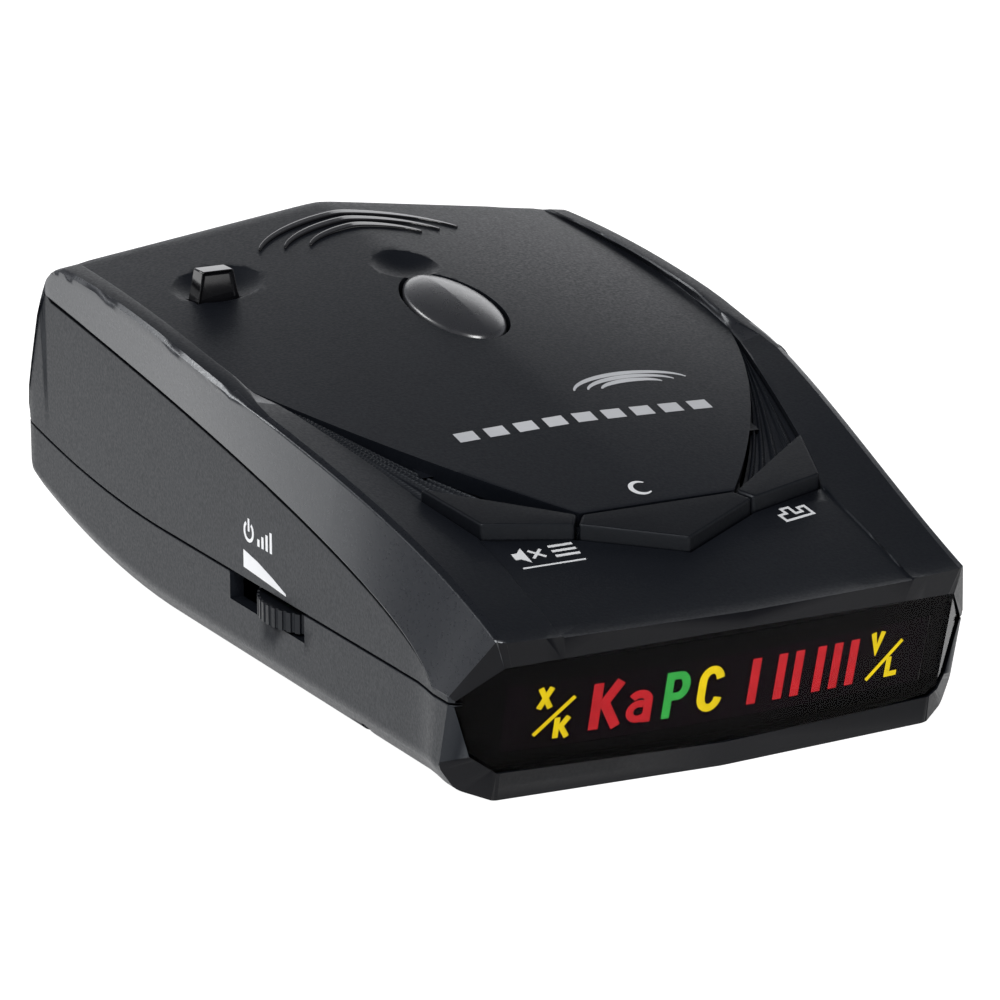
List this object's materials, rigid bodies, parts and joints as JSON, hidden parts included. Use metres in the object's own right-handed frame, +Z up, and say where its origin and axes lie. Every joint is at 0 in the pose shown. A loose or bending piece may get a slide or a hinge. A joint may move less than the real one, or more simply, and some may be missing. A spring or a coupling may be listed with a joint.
{
  "type": "radar detector",
  "caption": "Wedge-shaped windscreen radar detector with a smoked display window, press buttons, a thumbwheel, a laser lens dome and a bracket release tab.",
  "frame": {"origin": "under the middle of the housing, on the surface that the detector lies on", "axes": "+Z up, +Y from the display towards the antenna end, +X to the right as the driver sees the display"},
  "size_m": [0.0746, 0.1264, 0.0445],
  "materials": {
    "housing_plastic": "fine moulded grain, soft sheen",
    "button_plastic": "fine moulded grain",
    "gloss_black_plastic": "polished",
    "smoked_window": "polished, dark smoked",
    "display_film": "dark maroon printed film",
    "white_plastic": "moulded",
    "led_light": "clear moulded",
    "circuit_board": "solder mask",
    "black_component": "moulded",
    "jack_plastic": "satin",
    "cast_metal": "as cast",
    "bright_steel": "plated",
    "capacitor_sleeve": "shrink sleeve",
    "foam_gasket": "closed-cell foam",
    "cone_paper": "pressed pulp",
    "label_paper": "satin silver, blank"
  },
  "bodies": {
    "housing": {"antenna_lid": "cast_metal", "antenna_screws": "bright_steel", "audio_amplifier": "black_component", "board_screws": "bright_steel", "bottom_housing": "housing_plastic", "bracket_guides": "black_component", "capacitors": "capacitor_sleeve", "case_screws": "bright_steel", "clock_crystal": "bright_steel", "display_board": "circuit_board", "display_filter": "display_film", "display_header": "black_component", "display_leds": "led_light", "display_light_box": "white_plastic", "display_window": "smoked_window", "front_laser_lens": "gloss_black_plastic", "front_laser_sensor": "black_component", "horn_antenna": "cast_metal", "main_board": "circuit_board", "microcontroller": "black_component", "power_jack": "jack_plastic", "rating_label": "label_paper", "rear_laser_lens": "gloss_black_plastic", "rear_laser_sensor": "black_component", "release_spring": "bright_steel", "rf_board": "circuit_board", "rf_board_spacers": "bright_steel", "speaker_cone": "cone_paper", "speaker_frame": "bright_steel", "speaker_gasket": "foam_gasket", "speaker_magnet": "bright_steel", "switch_bodies": "black_component", "top_housing": "housing_plastic", "volume_control": "black_component"},
    "quiet_key": {"quiet_button": "button_plastic", "quiet_switch_plunger": "white_plastic"},
    "dark_key": {"dark_button": "button_plastic", "dark_switch_plunger": "white_plastic"},
    "city_key": {"city_button": "button_plastic", "city_switch_plunger": "white_plastic"},
    "volume_knob": {"volume_wheel": "button_plastic"},
    "release_key": {"release_tab": "gloss_black_plastic", "release_latch": "black_component"}
  },
  "joints": [
    {"name": "quiet_press", "type": "slide", "parent": "housing", "child": "quiet_key", "axis": [0, 0, -1], "range_m": [0, 0.0006], "stiffness_N_per_m": 500},
    {"name": "dark_press", "type": "slide", "parent": "housing", "child": "dark_key", "axis": [0, 0, -1], "range_m": [0, 0.0006], "stiffness_N_per_m": 500},
    {"name": "city_press", "type": "slide", "parent": "housing", "child": "city_key", "axis": [0, 0, -1], "range_m": [0, 0.0006], "stiffness_N_per_m": 500},
    {"name": "release_press", "type": "slide", "parent": "housing", "child": "release_key", "axis": [0, 0, -1], "range_m": [0, 0.0012], "stiffness_N_per_m": 400, "deforming": ["release_spring"]},
    {"name": "volume_turn", "type": "hinge", "parent": "housing", "child": "volume_knob", "pos_m": [-0.0257, -0.01135, 0.0101], "axis": [0, 0, 1], "range_deg": [0, 270]}
  ]
}
